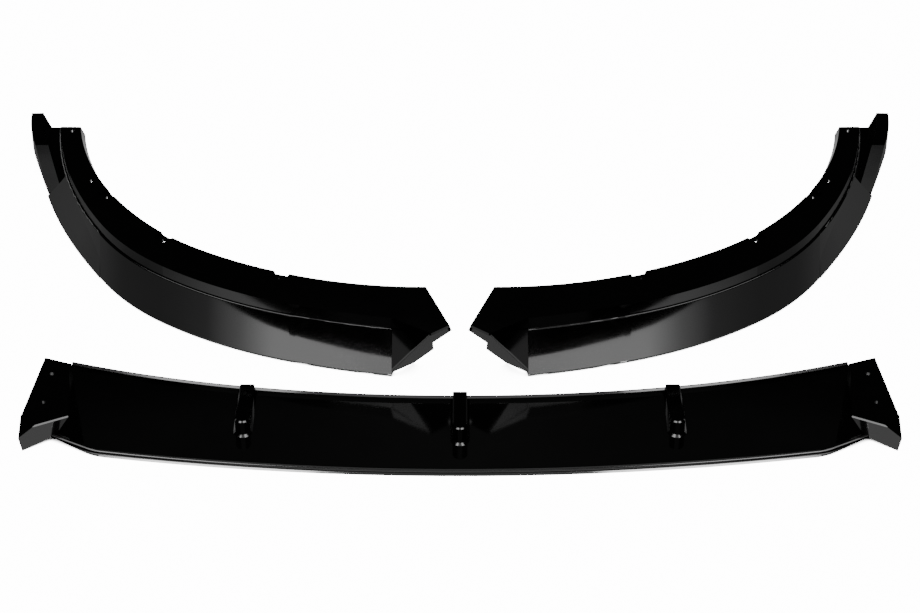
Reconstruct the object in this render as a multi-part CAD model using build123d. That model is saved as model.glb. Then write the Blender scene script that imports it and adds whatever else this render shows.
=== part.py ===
from build123d import *
from math import cos, degrees, radians, sin
import os

# Front splitter lip in three gloss-black mouldings, laid out flat as supplied:
# a centre blade in front, and a left and a right corner section behind it.
# Frame: +X to the right as seen from in front of the car, +Y to the rear, +Z up, millimetres.
# Left and right in the names are as seen from in front too.
# The origin is on the floor under the middle of the layout.

# Driving dimensions
WALL = 3.0                 # moulded wall thickness

# Corner section: its fascia runs along a plan line of tangent arcs, from the inner end to the tail
FOOT_START = (-72.0, -130.6)
FOOT_HEADING = 170.45      # degrees from +X at the inner end
FRONT_ARC = (850.0, 111.8)     # radius and length of each arc
SHOULDER_ARC = (470.0, 159.0)
CORNER_ARC = (290.0, 116.0)
WALL_TAIL_ARC = (535.0, 340.0)
FOOT_SIDE_ARC = (880.0, 176.0)
FOOT_FIN_ARC = (2500.0, 105.0)
FOOT_END_ARC = (240.0, 70.0)
RIDGE_HEIGHT = 58.7        # top of the glossy band
RIDGE_LEAN = 5.0           # the band leans in by this much at its top
LEDGE_WIDTH = 2.0          # level ledge between the band and the step up to the shelf
SHELF_HEIGHT = 72.0        # top of the mounting shelf
FOOT_RETURN = 12.0         # inward flange along the foot
FOOT_RADIUS = 3.5
FOOT_BREAK = 0.6           # share of that radius where the flare's foot is cut back
RIDGE_RADIUS = 1.3

# Shelf rear edge, another line of tangent arcs from the inner end to the tail
SHELF_REAR_START = (-36.0, -66.4)
SHELF_REAR_HEADING = 180.5
SHELF_REAR_ARCS = ((430.0, 124.0), (475.0, 138.0), (297.0, 72.0), (380.0, 234.0))
SHELF_FLANGE_DROP = 11.0   # the shelf's free edges turn down by this much
SHELF_FLANGE_FLARE = 4.5   # and lean out by this much

# Inner end of the corner section: a prow that overhangs the joint with the blade
PROW_FOOT_HEIGHT = 8.0     # the prow's leading edge starts this high on the corner
PROW_EDGE_RADIUS = 2.0
PROW_ROOT = 4.0            # the facet runs this far into the band's wall
PROW_GROOVE = 2.0          # the ledge runs out along the prow as a groove this wide and deep
PROW_TIP = (-29.8, -151.3, SHELF_HEIGHT)
SHELF_TIP = (-10.9, -136.2, SHELF_HEIGHT)
SHELF_TIP_DROP = 6.5       # depth of the end flange there
LAP_FOOT = (-49.0, -105.0, 0.0)        # lower edge of the lap panel under the prow
LAP_NOTCH_LOW = (-27.7, -101.5, 16.1)
LAP_NOTCH_TOP = (-28.1, -121.4, 38.8)
LAP_LOW_TIP = (-8.6, -116.1, 50.8)

# Tail of the corner section: a low end fin with a floor between it and the wall
TAIL_WALL_END = 259.6      # the wall's top edge starts to fall here
TAIL_FLOOR_END = 372.0     # and meets the floor here
FLOOR_THICKNESS = 4.0
FIN_TOP = 24.0
FIN_WIDTH = 14.5
FIN_RAMP_START = 226.0
FIN_RAMP_END = 298.0
GUSSET_REACH = 9.0
FLARE_AT_FIN = 16.5        # how far the band's foot has flared out where the fin starts
CREASE_TOP = 174.0         # the band ends along a crease from the ridge here
CREASE_FOOT = 226.0        # down to the foot here

# Screw seats along the shelf's rear edge: distance along the edge, each a sunk pocket with a hole
SEAT_PLACES = (156.9, 305.6, 415.5)
SEAT_WIDTH = 17.0
SEAT_DEPTH = 13.0
SEAT_DROP = 5.0
SEAT_HOLE_SETBACK = 5.0
END_HOLE_PLACES = (449.0, 560.0)       # two more holes near the tail, in the shelf itself
END_HOLE_SETBACK = 9.8
SCREW_HOLE = 5.0

# Centre blade
BLADE_HEIGHT = 7.0
BLADE_FRONT = -296.0       # front edge on the middle line
BLADE_CORNER = (-372.0, -263.5)
BLADE_CORNER_RADIUS = 45.0
BLADE_SIDE = (-421.0, -236.7)      # end of the swept-back edge, under the wing
BLADE_REAR = -177.5        # rear edge on the middle line
BLADE_REAR_ARCS = ((1550.0, 215.0), (1150.0, 198.5))
BLADE_LIP = 3.6            # rim under the blade's edge
BLADE_EDGE_RADIUS = 4.0
REAR_UPSTAND = 5.0         # bead along the rear edge
REAR_UPSTAND_WIDTH = 3.0
REAR_UPSTAND_CHAMFER = 1.6     # on its top front edge

# The rib tops and the wing platforms lie in one plane, which rises towards the front
SEAT_PLANE_SLOPE = 0.1345
SEAT_PLANE_REAR = -116.7
SEAT_PLANE_REAR_HEIGHT = 9.0

RIB_PITCH = 221.0
RIB_WIDTH = 15.0
RIB_FRONT = -240.0         # front of the two outer ribs
RIB_MIDDLE_FRONT = -253.5
RIB_OVERHANG = 1.0         # the ribs stand just proud of the rear edge
RIB_EDGE_CHAMFER = 1.4
RIB_FOOT_CHAMFER = 2.2     # skirt where a rib meets the blade

# Wing at each end of the blade, which the corner section laps over
WING_REAR_OUTER = (-439.5, -102.8)
WING_REAR_INNER = (-409.5, -116.7)
WING_FRONT_INNER = (-397.2, -228.2)
WING_FRONT_OUTER = (-429.3, -247.8)
WING_SIDE_MIDDLE = (-446.6, -226.3)
WING_NOSE = (-445.6, -257.5, 17.7)
WING_NOSE_FOOT = (-443.3, -255.1, 0.0)
WING_SLOPE_FOOT = (-411.0, -236.0)     # where the slope beside the wing meets the blade, in front
WING_SLOPE_CORNER = (-378.9, -253.6)
WING_HOLE_X = -426.8
WING_HOLE_Y = (-140.0, -200.0)
WING_HOLE = 6.0
WING_ENVELOPE = (120.0, 220.0, 80.0)   # block that the wing's faces are cut from
WING_EDGE_CHAMFER = 1.4
WING_RELIEF = ((-443.3, 0.0), (-411.0, 5.0), (-360.0, 0.0))     # x and height of the notch under its root
WING_RELIEF_REAR = -222.0  # how far back that notch runs
WING_SKIN_DROP = 4.5       # the slope beside the wing is hollow to this depth below its surface
FAR = 600.0                # reach of cutting blocks

LAYOUT_SHIFT = -(BLADE_FRONT + TAIL_FLOOR_END) / 2     # puts the layout's middle over the origin


def seat_plane_height(y):
    """Height of the shared seating plane at a distance along the car."""
    return SEAT_PLANE_REAR_HEIGHT + SEAT_PLANE_SLOPE * (SEAT_PLANE_REAR - y)


def in_seat_plane(point):
    return abs(point.Z - seat_plane_height(point.Y)) < 0.01


def heading_vector(heading):
    return Vector(cos(radians(heading)), sin(radians(heading)), 0)


def right_of(heading):
    return Vector(sin(radians(heading)), -cos(radians(heading)), 0)


class Track:
    """A plan line of tangent arcs that all turn right; the inside of the turn is the rear."""

    def __init__(self, start, heading, arcs):
        self.legs = []
        point = Vector(start[0], start[1], 0)
        for radius, length in arcs:
            centre = point + right_of(heading) * radius
            self.legs.append((centre, radius, heading, length))
            heading = heading - degrees(length / radius)
            point = centre - right_of(heading) * radius
        self.length = sum(length for _, length in arcs)

    def heading(self, distance):
        for centre, radius, heading, length in self.legs:
            if distance <= length or (centre, radius, heading, length) == self.legs[-1]:
                return heading - degrees(distance / radius)
            distance = distance - length

    def point(self, distance, inset=0.0, height=0.0):
        for centre, radius, heading, length in self.legs:
            if distance <= length or (centre, radius, heading, length) == self.legs[-1]:
                turned = heading - degrees(distance / radius)
                return centre - right_of(turned) * (radius - inset) + Vector(0, 0, height)
            distance = distance - length

    def wire(self, inset=0.0, height=0.0, begin=0.0, end=None):
        """Arcs of the line, moved in by an inset, from one distance along it to another."""
        end = self.length if end is None else end
        joints = []
        walked = 0.0
        for _, _, _, length in self.legs[:-1]:
            walked = walked + length
            if min(begin, end) < walked < max(begin, end):
                joints.append(walked)
        stops = sorted([begin, end, *joints], reverse=begin > end)
        edges = []
        for here, there in zip(stops, stops[1:]):
            places = (here, (here + there) / 2, there)
            edges.append(Edge.make_three_point_arc(*[self.point(s, inset, height) for s in places]))
        return Wire(edges)

    def section_plane(self, distance):
        """Upright plane across the line: its x runs inwards and its y runs up."""
        heading = self.heading(distance)
        return Plane(self.point(distance), x_dir=right_of(heading), z_dir=-heading_vector(heading))

    def distance_at_x(self, x):
        """Distance along a line that runs towards -X where it reaches a given x, by halving."""
        low, high = 0.0, self.length
        for _ in range(40):
            middle = (low + high) / 2
            low, high = (middle, high) if self.point(middle).X > x else (low, middle)
        return low

    def distance_at_y(self, y):
        """Distance along the line where it reaches a given y, by halving."""
        low, high = 0.0, self.length
        for _ in range(40):
            middle = (low + high) / 2
            low, high = (middle, high) if self.point(middle).Y < y else (low, middle)
        return low


def closed_face(points):
    return make_face(Polyline(*points, close=True)).faces()[0]


def plan_face(wires_and_points):
    """Flat face inside a closed chain of wires and corner points, all at one height."""
    edges = []
    ends = []
    for item in wires_and_points:
        if isinstance(item, Wire):
            ends.append((item @ 0, item @ 1))
            edges.extend(item.edges())
        else:
            ends.append((Vector(*item), Vector(*item)))
    for i, (_, here) in enumerate(ends):
        there = ends[(i + 1) % len(ends)][0]
        if (there - here).length > 0.001:
            edges.append(Edge.make_line(here, there))
    return Face(Wire(edges))


def outward_normal(points, inside):
    """Unit normal of the plane of the first three points, away from a point inside."""
    first, second, third = [Vector(*point) for point in points[:3]]
    normal = (second - first).cross(third - first).normalized()
    return normal if normal.dot(Vector(*inside) - first) < 0 else normal * -1


def slab(points, inside, thickness=WALL):
    """Plate of even thickness behind a polygon, in the plane of its first three points."""
    corners = [Vector(*point) for point in points]
    plane = Plane(corners[0], x_dir=corners[1] - corners[0], z_dir=outward_normal(points, inside))
    flat = [plane.to_local_coords(corner) for corner in corners]
    face = closed_face([(corner.X, corner.Y) for corner in flat])
    return plane * extrude(face, amount=thickness, dir=(0, 0, -1))


def half_space(point, normal):
    """Large block on the side of a plane that its normal points to."""
    plane = Plane(point, z_dir=normal)
    return plane * Box(2 * FAR, 2 * FAR, FAR, align=(Align.CENTER, Align.CENTER, Align.MIN))


foot_line = Track(FOOT_START, FOOT_HEADING,
                  (FRONT_ARC, SHOULDER_ARC, CORNER_ARC, FOOT_SIDE_ARC, FOOT_FIN_ARC, FOOT_END_ARC))
wall_line = Track(FOOT_START, FOOT_HEADING, (FRONT_ARC, SHOULDER_ARC, CORNER_ARC, WALL_TAIL_ARC))
shelf_line = Track(SHELF_REAR_START, SHELF_REAR_HEADING, SHELF_REAR_ARCS)
flare_start = FRONT_ARC[1] + SHOULDER_ARC[1] + CORNER_ARC[1]


def fascia_section():
    """Section of the upright wall: foot flange, leaning band, ledge, and the step up to the shelf."""
    step_face = RIDGE_LEAN + LEDGE_WIDTH
    inner = step_face + WALL
    points = [
        (0, 0),
        (RIDGE_LEAN, RIDGE_HEIGHT),
        (step_face, RIDGE_HEIGHT),
        (step_face, SHELF_HEIGHT),
        (inner + WALL, SHELF_HEIGHT),
        (inner + WALL, SHELF_HEIGHT - WALL),
        (inner, SHELF_HEIGHT - WALL),
        (inner, RIDGE_HEIGHT - WALL),
        (RIDGE_LEAN + WALL, RIDGE_HEIGHT - WALL),
        (WALL * 1.1, WALL),
        (FOOT_RETURN, WALL),
        (FOOT_RETURN, 0),
    ]
    outline = make_face(Polyline(*points, close=True))
    rounds = {0: FOOT_RADIUS, 1: RIDGE_RADIUS}
    for index, radius in rounds.items():
        corner = outline.vertices().sort_by_distance(Vector(*points[index]))[0]
        outline = fillet(corner, radius)
    return outline


def fascia():
    """The wall swept along its line, with its tail falling away to the floor."""
    wall = sweep(wall_line.section_plane(0) * fascia_section(), path=wall_line.wire())
    fall = (SHELF_HEIGHT - FLOOR_THICKNESS) / (TAIL_FLOOR_END - TAIL_WALL_END)
    above = half_space((0, TAIL_WALL_END, SHELF_HEIGHT + 0.01), (0, fall, 1))
    past_end = half_space((0, TAIL_FLOOR_END, 0), (0, 1, 0))
    return wall - above - past_end


def flare_block(skin):
    """Wedge between the upright wall and the band's flared foot, shrunk by a skin thickness."""
    stations = 5
    finish = wall_line.distance_at_y(CREASE_FOOT + 12)
    sections = []
    for i in range(stations):
        share = i / (stations - 1)
        distance = flare_start + (finish - flare_start) * share
        foot = FLARE_AT_FIN * share ** 1.5 - skin + 0.2
        foot = max(foot, 0.1)
        outline = closed_face([
            (FOOT_RADIUS * FOOT_BREAK - foot, -skin),
            (-foot, FOOT_RADIUS * FOOT_BREAK - skin),
            (RIDGE_LEAN + 0.4, RIDGE_HEIGHT - 0.8 - 2 * skin),
            (RIDGE_LEAN + WALL - 1, RIDGE_HEIGHT - 0.8 - 2 * skin),
            (FOOT_RADIUS + WALL, -skin),
        ])
        sections.append(wall_line.section_plane(distance) * outline)
    return loft(sections)


def crease_cut(setback):
    """Everything behind the slanting crease that ends the band, moved forward by a setback."""
    top = wall_line.point(wall_line.distance_at_y(CREASE_TOP), RIDGE_LEAN, RIDGE_HEIGHT)
    foot = wall_line.point(wall_line.distance_at_y(CREASE_FOOT), -FLARE_AT_FIN, 0)
    along = foot - top
    across = right_of(wall_line.heading(wall_line.distance_at_y(CREASE_TOP)))
    normal = along.cross(across)
    if normal.Y < 0:
        normal = normal * -1
    normal = normal.normalized()
    return half_space(top - normal * setback, normal)


def flare():
    """Hollow flare that carries the band's foot out to the end fin."""
    outer = flare_block(0) - crease_cut(0)
    inner = flare_block(WALL) - crease_cut(WALL)
    return outer - inner


def upright(face, height):
    return extrude(face, amount=height, dir=(0, 0, 1))


def tail():
    """Floor, end fin and gusset at the outer end."""
    begin = foot_line.distance_at_y(CREASE_TOP)
    end = foot_line.distance_at_y(TAIL_FLOOR_END)
    wall_begin = wall_line.distance_at_y(CREASE_TOP)
    wall_end = wall_line.distance_at_y(TAIL_FLOOR_END)
    outer = foot_line.wire(0, 0, begin, end)
    inner = wall_line.wire(WALL, 0, wall_end, wall_begin)
    floor = upright(plan_face([outer, inner]), FLOOR_THICKNESS)

    fin = upright(plan_face([outer, foot_line.wire(FIN_WIDTH, 0, end, begin)]), FIN_TOP)
    rise = (FIN_TOP - FLOOR_THICKNESS) / (FIN_RAMP_END - FIN_RAMP_START)
    over_ramp = half_space((0, FIN_RAMP_START, FLOOR_THICKNESS), (0, -rise, 1))
    fin = fin - over_ramp
    core_outline = plan_face([
        foot_line.wire(WALL, -1, begin, end - WALL),
        foot_line.wire(FIN_WIDTH - WALL, -1, end - WALL, begin),
    ])
    core = upright(core_outline, FIN_TOP - WALL + 1) - Pos(0, 0, -WALL) * over_ramp

    corner = foot_line.point(end, FIN_WIDTH - 0.5)
    gusset = slab([
        (corner.X, TAIL_FLOOR_END, FLOOR_THICKNESS - 1),
        (corner.X + GUSSET_REACH, TAIL_FLOOR_END, FLOOR_THICKNESS - 1),
        (corner.X, TAIL_FLOOR_END, FIN_TOP),
    ], (corner.X, 0, FLOOR_THICKNESS))
    return (floor + fin + gusset) - core


def shelf():
    """Mounting shelf, its down-turned edges and the sunk screw seats."""
    low = SHELF_HEIGHT - WALL
    front = wall_line.wire(RIDGE_LEAN + WALL, low, wall_line.distance_at_y(TAIL_WALL_END), 0)
    tips = [(x, y, low) for x, y, _ in (PROW_TIP, SHELF_TIP)]
    plate = upright(plan_face([shelf_line.wire(0, low), front, *tips]), WALL)

    drop = SHELF_HEIGHT - SHELF_FLANGE_DROP
    section = closed_face([
        (0, SHELF_HEIGHT),
        (SHELF_FLANGE_FLARE, drop),
        (SHELF_FLANGE_FLARE - WALL, drop),
        (-WALL, SHELF_HEIGHT - WALL),
        (-WALL, SHELF_HEIGHT),
    ])
    flange = sweep(shelf_line.section_plane(0) * section, path=shelf_line.wire())

    inner_end = shelf_line.point(0)
    end_flange = slab([
        (inner_end.X, inner_end.Y, SHELF_HEIGHT),
        SHELF_TIP,
        (SHELF_TIP[0] + 2, SHELF_TIP[1], SHELF_HEIGHT - SHELF_TIP_DROP),
        (inner_end.X + 2, inner_end.Y, drop),
    ], (-200, 0, 0))
    return plate + flange + end_flange


def screw_seats():
    """Sunk seats along the shelf's rear edge: the blocks to add and the pockets and holes to cut."""
    blocks, cuts = [], []
    seat_floor = SHELF_HEIGHT - SEAT_DROP
    for place in SEAT_PLACES:
        frame = shelf_line.section_plane(place)
        block = Box(SEAT_DEPTH + WALL, SEAT_DROP + WALL, SEAT_WIDTH + 2 * WALL)
        block_place = Pos(-(SEAT_DEPTH + WALL) / 2, SHELF_HEIGHT - (SEAT_DROP + WALL) / 2, 0)
        blocks.append(frame * block_place * block)
        pocket = Box(2 * SEAT_DEPTH, 2 * SEAT_DROP, SEAT_WIDTH)
        cuts.append(frame * Pos(0, seat_floor + SEAT_DROP, 0) * pocket)
        cuts.append(screw_hole(place, SEAT_HOLE_SETBACK))
    cuts.extend(screw_hole(place, END_HOLE_SETBACK) for place in END_HOLE_PLACES)
    return blocks, cuts


def screw_hole(place, setback):
    centre = shelf_line.point(place, -setback, SHELF_HEIGHT)
    return Pos(*centre) * Cylinder(SCREW_HOLE / 2, 8 * WALL)


def prow():
    """Turned-out facet at the band's inner end, the lap panel that undercuts it, and their round edge."""
    foot = wall_line.point(0)
    shelf_corner = wall_line.point(0, RIDGE_LEAN + LEDGE_WIDTH, SHELF_HEIGHT)
    rise = (shelf_corner - foot) / SHELF_HEIGHT
    behind = (-60, -60, 40)
    edge_foot = foot + rise * PROW_FOOT_HEIGHT
    tip = Vector(*PROW_TIP)
    rooted = [point + (point - tip).normalized() * PROW_ROOT for point in (edge_foot, shelf_corner)]
    facet_points = [tuple(rooted[0]), PROW_TIP, tuple(rooted[1])]
    facet = slab(facet_points, behind)
    groove = slab([
        tuple(foot + rise * RIDGE_HEIGHT),
        PROW_TIP,
        tuple(foot + rise * (RIDGE_HEIGHT + PROW_GROOVE)),
    ], behind, PROW_GROOVE)
    lap_points = [
        tuple(edge_foot), PROW_TIP, SHELF_TIP, LAP_LOW_TIP,
        LAP_NOTCH_TOP, LAP_NOTCH_LOW, LAP_FOOT, tuple(foot),
    ]
    lap = slab(lap_points, behind)

    facing, under = [outward_normal(points, behind) for points in (facet_points, lap_points)]
    axis = edge_foot - (facing + under) * (PROW_EDGE_RADIUS / (1 + facing.dot(under)))
    edge = tip - edge_foot
    planed = half_space(axis + facing * PROW_EDGE_RADIUS, facing + under) - half_space(edge_foot, edge * -1)
    rod = Cylinder(PROW_EDGE_RADIUS, edge.length, align=(Align.CENTER, Align.CENTER, Align.MIN))
    return facet - groove + lap - planed + Plane(axis, z_dir=edge) * rod


def build_corner():
    blocks, cuts = screw_seats()
    piece = fascia() + flare() + tail() + shelf() + prow() + blocks
    over = half_space((0, 0, SHELF_HEIGHT), (0, 0, 1))
    under = half_space((0, 0, 0), (0, 0, -1))
    return piece - cuts - over - under


def mirrored_pair(shape):
    return [shape, mirror(shape, Plane.YZ)]


blade_rear = Track((0, BLADE_REAR), 180.0, BLADE_REAR_ARCS)


def blade_outline():
    """Plan of the blade between its wings."""
    corner, side, inner = [Vector(*p, 0) for p in (BLADE_CORNER, BLADE_SIDE, WING_REAR_INNER)]
    right = [Vector(-p.X, p.Y, 0) for p in (corner, side, inner)]
    front = Edge.make_three_point_arc(corner, Vector(0, BLADE_FRONT, 0), right[0])
    rear = blade_rear.wire()
    rear_right = mirror(rear, Plane.YZ)
    edges = [front, *rear.edges(), *rear_right.edges()]
    for chain in ([corner, side, inner, rear @ 1], [*right, rear_right @ 1]):
        edges.extend(Edge.make_line(a, b) for a, b in zip(chain, chain[1:]))
    return Face(Wire(edges))


def wing_block(inset):
    """Block under a wing's faces, each moved in by an inset; open towards the floor when inset."""
    rear_outer, rear_inner, front_inner, front_outer, side = [
        Vector(*p, seat_plane_height(p[1])) for p in
        (WING_REAR_OUTER, WING_REAR_INNER, WING_FRONT_INNER, WING_FRONT_OUTER, WING_SIDE_MIDDLE)
    ]
    nose = Vector(*WING_NOSE)
    nose_foot = Vector(*WING_NOSE_FOOT)
    down = Vector(0, 0, -1)
    middle = (rear_inner + nose) / 2 + down * nose.Z / 2
    faces = [
        (rear_inner, front_inner, Vector(rear_inner.X - 1, rear_inner.Y, rear_inner.Z)),
        (side, front_outer, nose),
        (front_inner, front_outer, nose_foot),
        (nose, nose_foot, side),
        (side, rear_outer, side + down),
        (rear_outer, rear_inner, rear_inner + down),
        (rear_inner, front_inner, front_inner + down),
    ]
    on_floor = (Align.CENTER, Align.CENTER, Align.MIN)
    block = Pos(middle.X, middle.Y, -inset) * Box(*WING_ENVELOPE, align=on_floor)
    for first, second, third in faces:
        normal = (second - first).cross(third - first).normalized()
        if normal.dot(first - middle) < 0:
            normal = normal * -1
        block = block - half_space(first - normal * inset, normal)
    return block


def wing():
    """Shell of a wing with the edges of its platform broken, open towards the floor."""
    block = wing_block(0)
    edges = [edge for edge in block.edges() if in_seat_plane(edge @ 0) and in_seat_plane(edge @ 1)]
    return chamfer(edges, WING_EDGE_CHAMFER) - wing_block(WALL)


def wing_slope():
    """Sloping facets that run from the wing's inner edge down to the blade."""
    base = BLADE_HEIGHT - WALL / 2
    corners = [Vector(*p, base) for p in (WING_REAR_INNER, WING_SLOPE_FOOT, WING_SLOPE_CORNER)]
    apex = Vector(*WING_FRONT_INNER, seat_plane_height(WING_FRONT_INNER[1]))
    sides = [(0, 1, 2), (0, 1, 3), (1, 2, 3), (2, 0, 3)]
    corners.append(apex)
    faces = [Face(Wire.make_polygon([corners[i] for i in side], close=True)) for side in sides]
    return Solid(Shell(faces))


def rib(x, front):
    """Wedge rib with a round nose, its top in the seating plane, cored from below."""
    distance = blade_rear.distance_at_x(-abs(x))
    rear = blade_rear.point(distance).Y + RIB_OVERHANG

    def profile(inset):
        half = RIB_WIDTH / 2 - inset
        nose = front + RIB_WIDTH / 2
        return make_face([
            Line((half, nose), (half, rear - inset)),
            Line((half, rear - inset), (-half, rear - inset)),
            Line((-half, rear - inset), (-half, nose)),
            ThreePointArc((-half, nose), (0, nose - half), (half, nose)),
        ]).faces()[0]

    top = half_space((0, 0, seat_plane_height(0)), (0, SEAT_PLANE_SLOPE, 1))
    block = Pos(x, 0, 0) * upright(profile(0), 3 * BLADE_HEIGHT + RIB_WIDTH) - top
    rims = block.faces().sort_by(Axis.Z)[-1].edges()
    block = chamfer(rims, RIB_EDGE_CHAMFER)
    core = Pos(x, 0, -1) * upright(profile(WALL), 4 * BLADE_HEIGHT + RIB_WIDTH)
    return block, core - Pos(0, 0, -WALL) * top


def is_rib_foot(edge):
    """Whether an edge is where a rib's side or nose meets the top of the blade."""
    middle = edge @ 0.5
    level = abs(middle.Z - BLADE_HEIGHT) < 0.01 and abs((edge @ 0).Z - BLADE_HEIGHT) < 0.01
    beside = min(abs(middle.X - x) for x in (-RIB_PITCH, 0, RIB_PITCH)) < RIB_WIDTH / 2 + 0.01
    return level and beside and middle.Y > RIB_MIDDLE_FRONT - 1 and edge.length > REAR_UPSTAND_WIDTH


def build_blade():
    outline = blade_outline()
    rounded = outline
    for side in (-1, 1):
        corner = Vector(side * abs(BLADE_CORNER[0]), BLADE_CORNER[1], 0)
        rounded = fillet(rounded.vertices().sort_by_distance(corner)[0], BLADE_CORNER_RADIUS).faces()[0]
    plate = upright(rounded, BLADE_HEIGHT)
    rim = plate.faces().sort_by(Axis.Z)[-1].edges()
    front_edges = [edge for edge in rim if (edge @ 0.5).Y < BLADE_SIDE[1] - 5]
    plate = fillet(front_edges, BLADE_EDGE_RADIUS)
    tray = upright(offset(rounded, -BLADE_LIP).faces()[0], BLADE_HEIGHT - WALL)
    bead_top = BLADE_HEIGHT + REAR_UPSTAND
    bead_section = closed_face([
        (0, 0),
        (0, bead_top),
        (REAR_UPSTAND_CHAMFER - REAR_UPSTAND_WIDTH, bead_top),
        (-REAR_UPSTAND_WIDTH, bead_top - REAR_UPSTAND_CHAMFER),
        (-REAR_UPSTAND_WIDTH, 0),
    ])
    bead = sweep(blade_rear.section_plane(0) * bead_section, path=blade_rear.wire())
    places = ((0, RIB_MIDDLE_FRONT), (-RIB_PITCH, RIB_FRONT), (RIB_PITCH, RIB_FRONT))
    ribs = [rib(x, front) for x, front in places]
    deck = plate + [block for block, _ in ribs]
    deck = chamfer([edge for edge in deck.edges() if is_rib_foot(edge)], RIB_FOOT_CHAMFER)
    slope = wing_slope()
    deck = deck + mirrored_pair(slope) + mirrored_pair(bead)
    hollows = [tray, *[core for _, core in ribs]]
    hollows.extend(mirrored_pair(Pos(0, 0, -WING_SKIN_DROP) * slope))
    hollows.extend(mirrored_pair(wing_block(WALL)))
    piece = deck - hollows + mirrored_pair(wing())

    notch = [*WING_RELIEF, (WING_RELIEF[2][0], -WALL), (WING_RELIEF[0][0], -WALL)]
    notch_points = [(x, BLADE_FRONT, z) for x, z in notch]
    cuts = mirrored_pair(slab(notch_points, (0, 0, 0), WING_RELIEF_REAR - BLADE_FRONT))
    for y in WING_HOLE_Y:
        place = Plane((WING_HOLE_X, y, seat_plane_height(y)), z_dir=(0, SEAT_PLANE_SLOPE, 1))
        cuts.extend(mirrored_pair(place * Cylinder(WING_HOLE / 2, 6 * WALL)))
    return piece - cuts


if __name__ == "__main__":
    os.makedirs("parts", exist_ok=True)
    layout = Pos(0, LAYOUT_SHIFT, 0)
    corner_left, corner_right = mirrored_pair(build_corner())
    export_step(layout * corner_left, "parts/corner_section_left.step")
    export_step(layout * corner_right, "parts/corner_section_right.step")
    export_step(layout * build_blade(), "parts/centre_blade.step")
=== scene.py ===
import math

import bmesh
import bpy
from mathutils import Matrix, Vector

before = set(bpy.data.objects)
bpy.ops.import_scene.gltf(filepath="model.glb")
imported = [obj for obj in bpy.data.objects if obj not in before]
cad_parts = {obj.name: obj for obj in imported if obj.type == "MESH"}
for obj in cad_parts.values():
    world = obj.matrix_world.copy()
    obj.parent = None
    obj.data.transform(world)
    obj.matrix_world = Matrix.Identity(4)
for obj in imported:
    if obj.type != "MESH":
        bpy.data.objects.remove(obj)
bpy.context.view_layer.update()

MM = 0.001

# Camera of the photograph: straight in front, looking down by 35 degrees at a point on the floor
LOOK_AT = Vector((0.0, -0.038, 0.0))
CAMERA_DISTANCE = 2.850
CAMERA_ELEVATION = math.radians(35.0)
CAMERA_LENS = 102.08
SENSOR_WIDTH = 36.0

# Outward direction of the lap panel under the left-hand prow
LAP_FACING = (0.518, -0.648, -0.558)


def linear(hex_colour):
    """Linear RGBA of an sRGB hex colour."""
    channels = [int(hex_colour[i:i + 2], 16) / 255 for i in (1, 3, 5)]
    return [c / 12.92 if c <= 0.04045 else ((c + 0.055) / 1.055) ** 2.4 for c in channels] + [1.0]


def add_node(tree, kind, links=None, **settings):
    """A node of a tree with its settings; links gives each input an output or a fixed value."""
    node = tree.nodes.new(kind)
    for name, value in settings.items():
        setattr(node, name, value)
    for name, source in (links or {}).items():
        if isinstance(source, bpy.types.NodeSocket):
            tree.links.new(source, node.inputs[name])
        else:
            node.inputs[name].default_value = source
    return node


def new_material(name):
    """An empty node material and its tree."""
    material = bpy.data.materials.new(name)
    material.use_nodes = True
    material.node_tree.nodes.clear()
    return material, material.node_tree


def matte_faces(tree, normal):
    """One on the faces that lie square to a lap panel of either side, nothing elsewhere."""
    split = add_node(tree, "ShaderNodeSeparateXYZ", {"Vector": normal})
    sideways = add_node(tree, "ShaderNodeMath", {0: split.outputs["X"]}, operation="ABSOLUTE")
    facing = add_node(tree, "ShaderNodeCombineXYZ", {
        "X": sideways.outputs["Value"],
        "Y": split.outputs["Y"],
        "Z": split.outputs["Z"],
    })
    square = add_node(tree, "ShaderNodeVectorMath", {
        0: facing.outputs["Vector"],
        1: LAP_FACING,
    }, operation="DOT_PRODUCT")
    return add_node(tree, "ShaderNodeMapRange", {
        "Value": square.outputs["Value"],
        "From Min": 0.9980,
        "From Max": 0.9995,
    }).outputs["Result"]


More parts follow.
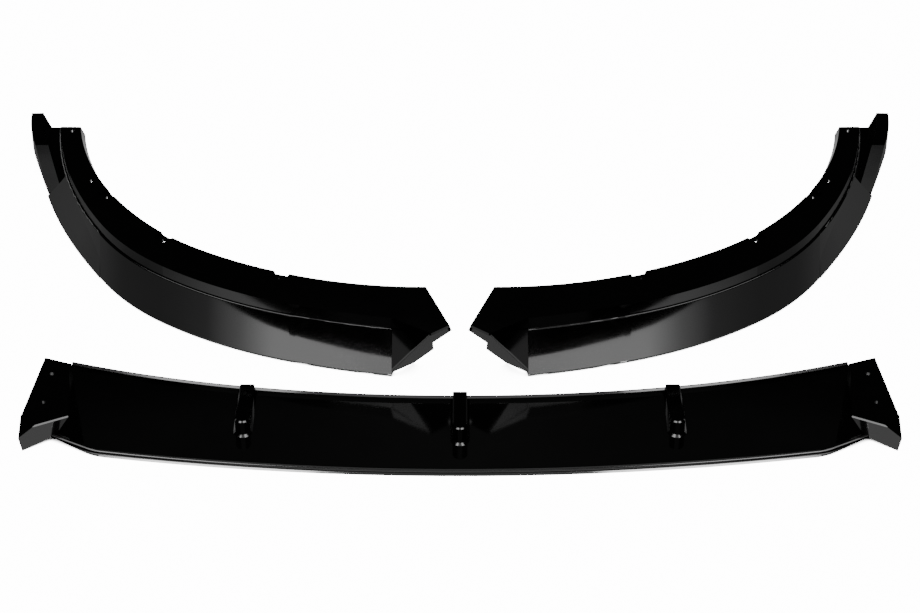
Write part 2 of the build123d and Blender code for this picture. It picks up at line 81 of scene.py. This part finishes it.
def gloss_black_abs():
    """Injection-moulded ABS from a polished tool: deep black, a hard mirror gloss with a faint ripple.

    The lap panels under the prows have a fine satin grain instead.
    """
    material, tree = new_material("gloss_black_moulded_abs")
    coordinates = add_node(tree, "ShaderNodeTexCoord").outputs
    place = coordinates["Object"]
    matte = matte_faces(tree, coordinates["Normal"])
    haze = add_node(tree, "ShaderNodeTexNoise", {
        "Vector": place,
        "Scale": 1 / (45 * MM),
        "Detail": 3.0,
    })
    gloss = add_node(tree, "ShaderNodeMapRange", {
        "Value": haze.outputs["Fac"],
        "From Min": 0.3,
        "From Max": 0.7,
        "To Min": 0.07,
        "To Max": 0.12,
    })
    roughness = add_node(tree, "ShaderNodeMapRange", {
        "Value": matte,
        "To Min": gloss.outputs["Result"],
        "To Max": 0.22,
    })
    colour = add_node(tree, "ShaderNodeMixRGB", {
        "Fac": matte,
        "Color1": linear("#030303"),
        "Color2": linear("#101011"),
    })
    ripple = add_node(tree, "ShaderNodeTexNoise", {
        "Vector": place,
        "Scale": 1 / (14 * MM),
        "Detail": 1.0,
    })
    waves = add_node(tree, "ShaderNodeBump", {
        "Height": ripple.outputs["Fac"],
        "Strength": 0.01,
        "Distance": 1.0 * MM,
    })
    grain = add_node(tree, "ShaderNodeTexNoise", {
        "Vector": place,
        "Scale": 1 / (1.4 * MM),
        "Detail": 2.0,
    })
    grain_depth = add_node(tree, "ShaderNodeMath", {0: matte, 1: 0.3}, operation="MULTIPLY")
    surface = add_node(tree, "ShaderNodeBump", {
        "Height": grain.outputs["Fac"],
        "Strength": grain_depth.outputs["Value"],
        "Distance": 0.2 * MM,
        "Normal": waves.outputs["Normal"],
    })
    shader = add_node(tree, "ShaderNodeBsdfPrincipled", {
        "Base Color": colour.outputs["Color"],
        "Roughness": roughness.outputs["Result"],
        "IOR": 1.52,
        "Normal": surface.outputs["Normal"],
    })
    add_node(tree, "ShaderNodeOutputMaterial", {"Surface": shader.outputs["BSDF"]})
    return material


def studio_floor():
    """White paper floor, glowing to a bare white for the camera, with a painted contact shadow that darkens
    it where the mouldings cover it.
    """
    material, tree = new_material("white_paper_floor")
    # Painted contact shadow: ambient occlusion dims the floor's glow under and close to the mouldings
    openness = add_node(tree, "ShaderNodeAmbientOcclusion", {"Distance": 60 * MM}, samples=16)
    lit = add_node(tree, "ShaderNodeMapRange", {
        "Value": openness.outputs["AO"],
        "From Min": 0.15,
        "From Max": 0.40,
        "To Max": FLOOR_GLOW,
    })
    shader = add_node(tree, "ShaderNodeBsdfPrincipled", {
        "Base Color": linear("#f4f4f4"),
        "Roughness": 0.9,
        "Specular IOR Level": 0.0,
        "Emission Color": linear("#ffffff"),
        "Emission Strength": lit.outputs["Result"],
    })
    add_node(tree, "ShaderNodeOutputMaterial", {"Surface": shader.outputs["BSDF"]})
    return material


def lit_panel(name, stops):
    """A panel of the studio surround; stops give its glow by degrees round from the camera's side."""
    material, tree = new_material(name)
    place = add_node(tree, "ShaderNodeTexCoord").outputs["Object"]
    split = add_node(tree, "ShaderNodeSeparateXYZ", {"Vector": place})
    sideways = add_node(tree, "ShaderNodeMath", {0: split.outputs["X"]}, operation="ABSOLUTE")
    forward = add_node(tree, "ShaderNodeMath", {0: split.outputs["Y"], 1: -1.0}, operation="MULTIPLY")
    azimuth = add_node(tree, "ShaderNodeMath", {
        0: sideways.outputs["Value"],
        1: forward.outputs["Value"],
    }, operation="ARCTAN2")
    share = add_node(tree, "ShaderNodeMapRange", {
        "Value": azimuth.outputs["Value"],
        "From Max": math.pi,
    })
    ramp = add_node(tree, "ShaderNodeValToRGB", {"Fac": share.outputs["Result"]})
    peak = max(level for _, level in stops)
    elements = ramp.color_ramp.elements
    while len(elements) < len(stops):
        elements.new(0.5)
    for element, (degrees, level) in zip(elements, stops):
        element.position = degrees / 180
        element.color = (level / peak, level / peak, level / peak, 1.0)
    light = add_node(tree, "ShaderNodeEmission", {"Color": ramp.outputs["Color"], "Strength": peak})
    add_node(tree, "ShaderNodeOutputMaterial", {"Surface": light.outputs["Emission"]})
    return material


def stage_object(name, mesh, material, seen_by):
    """A stage piece that only one kind of ray sees."""
    mesh.materials.append(material)
    piece = bpy.data.objects.new(name, mesh)
    bpy.context.scene.collection.objects.link(piece)
    for kind in ("camera", "diffuse", "glossy", "shadow", "transmission", "volume_scatter"):
        setattr(piece, "visible_" + kind, kind == seen_by)


def disc_mesh(name, radius):
    """Level disc on the floor."""
    bm = bmesh.new()
    bmesh.ops.create_circle(bm, cap_ends=True, segments=96, radius=radius)
    mesh = bpy.data.meshes.new(name)
    bm.to_mesh(mesh)
    bm.free()
    return mesh


def sky_patch(name, azimuths, elevations):
    """Part of a large ball round the object, by degrees from the camera's side and above the floor."""
    steps = 24
    points = []
    for i in range(steps + 1):
        elevation = math.radians(elevations[0] + (elevations[1] - elevations[0]) * i / steps)
        level = SKY_RADIUS * math.cos(elevation)
        height = SKY_RADIUS * math.sin(elevation)
        for j in range(steps + 1):
            azimuth = math.radians(azimuths[0] + (azimuths[1] - azimuths[0]) * j / steps)
            points.append((level * math.sin(azimuth), -level * math.cos(azimuth), height))
    faces = []
    for i in range(steps):
        for j in range(steps):
            corner = i * (steps + 1) + j
            faces.append((corner, corner + 1, corner + steps + 2, corner + steps + 1))
    mesh = bpy.data.meshes.new(name)
    mesh.from_pydata(points, [], faces)
    return mesh


FLOOR_GLOW = 14.0
FLOOR_RADIUS = 8.0
# Studio surround at a distance: azimuths from the camera's side, elevations, and glow by azimuth. The panels
# below the horizon stand for the light that comes back from the floor.
SKY_RADIUS = 5.0
SURROUND = {
    "front_low_softbox": ((-22, 22), (10, 26), [(0, 1.8), (13, 1.8), (22, 0.5)]),
    "front_high_softbox": ((-22, 22), (48, 60), [(0, 1.6), (12, 1.6), (22, 0.4)]),
    "front_left_softbox": ((-50, -22), (45, 63), [(22, 9.0), (50, 9.0)]),
    "front_right_softbox": ((22, 50), (45, 63), [(22, 9.0), (50, 9.0)]),
    "left_softbox": ((-115, -50), (44, 66), [(50, 6.0), (75, 6.0), (80, 4.0), (115, 4.0)]),
    "right_softbox": ((50, 115), (44, 66), [(50, 6.0), (75, 6.0), (80, 4.0), (115, 4.0)]),
    "rear_horizon": ((110, 250), (0, 8), [(110, 1.0), (180, 1.0)]),
    "rear_glow": ((150, 210), (38, 44), [(150, 0.032), (172, 0.038), (176, 0.050), (180, 0.060)]),
    "overhead_fill": ((-180, 180), (70, 90), [(0, 0.8), (180, 0.8)]),
    "front_fill": ((-32, 32), (27, 43), [(0, 0.8), (32, 0.8)]),
    "floor_glow_outer": ((-180, 180), (-31, -8), [
        (0, 0.5), (13, 0.9), (17, 3.2), (30, 3.7), (42, 3.6), (52, 1.4), (62, 0.40), (75, 0.24), (100, 0.17),
        (125, 0.19), (137, 0.12), (150, 0.05), (165, 0.50), (180, 0.60),
    ]),
    "floor_glow_inner": ((-180, 180), (-80, -41), [
        (0, 0.86), (55, 1.2), (70, 0.7), (85, 0.18), (100, 0.05), (145, 0.04), (155, 0.18), (180, 0.18),
    ]),
    "floor_glow_middle": ((-180, 180), (-41, -31), [
        (0, 0.86), (12, 0.9), (14, 34.0), (29, 34.0), (31, 1.4), (55, 1.0), (70, 0.7), (85, 0.18),
        (100, 0.05), (145, 0.04), (155, 0.18), (180, 0.18),
    ]),
    "rear_high_left": ((-167, -147), (57, 71), [(147, 0.6), (167, 0.6)]),
    "rear_high_right": ((147, 167), (57, 71), [(147, 0.6), (167, 0.6)]),
}

abs_plastic = gloss_black_abs()
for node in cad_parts.values():
    node.data.materials.clear()
    node.data.materials.append(abs_plastic)

stage_object("studio_floor", disc_mesh("studio_floor", FLOOR_RADIUS), studio_floor(), "camera")
for name, (azimuths, elevations, stops) in SURROUND.items():
    stage_object(name, sky_patch(name, azimuths, elevations), lit_panel(name, stops), "glossy")

# Soft overhead light
light = bpy.data.lights.new("overhead_softbox", "SUN")
light.energy = 3.0
light.angle = math.radians(58)
lamp = bpy.data.objects.new("overhead_softbox", light)
lamp.rotation_euler = (math.radians(5.0), 0.0, 0.0)
lamp.visible_glossy = False
bpy.context.scene.collection.objects.link(lamp)

world = bpy.data.worlds.new("dim_studio")
world.use_nodes = True
world.node_tree.nodes["Background"].inputs["Color"].default_value = linear("#101010")
bpy.context.scene.world = world

camera_data = bpy.data.cameras.new("photo_camera")
camera_data.lens = CAMERA_LENS
camera_data.sensor_width = SENSOR_WIDTH
camera = bpy.data.objects.new("photo_camera", camera_data)
back = Vector((0.0, -math.cos(CAMERA_ELEVATION), math.sin(CAMERA_ELEVATION)))
camera.location = LOOK_AT + back * CAMERA_DISTANCE
camera.rotation_euler = (math.pi / 2 - CAMERA_ELEVATION, 0.0, 0.0)
bpy.context.scene.collection.objects.link(camera)
bpy.context.scene.camera = camera
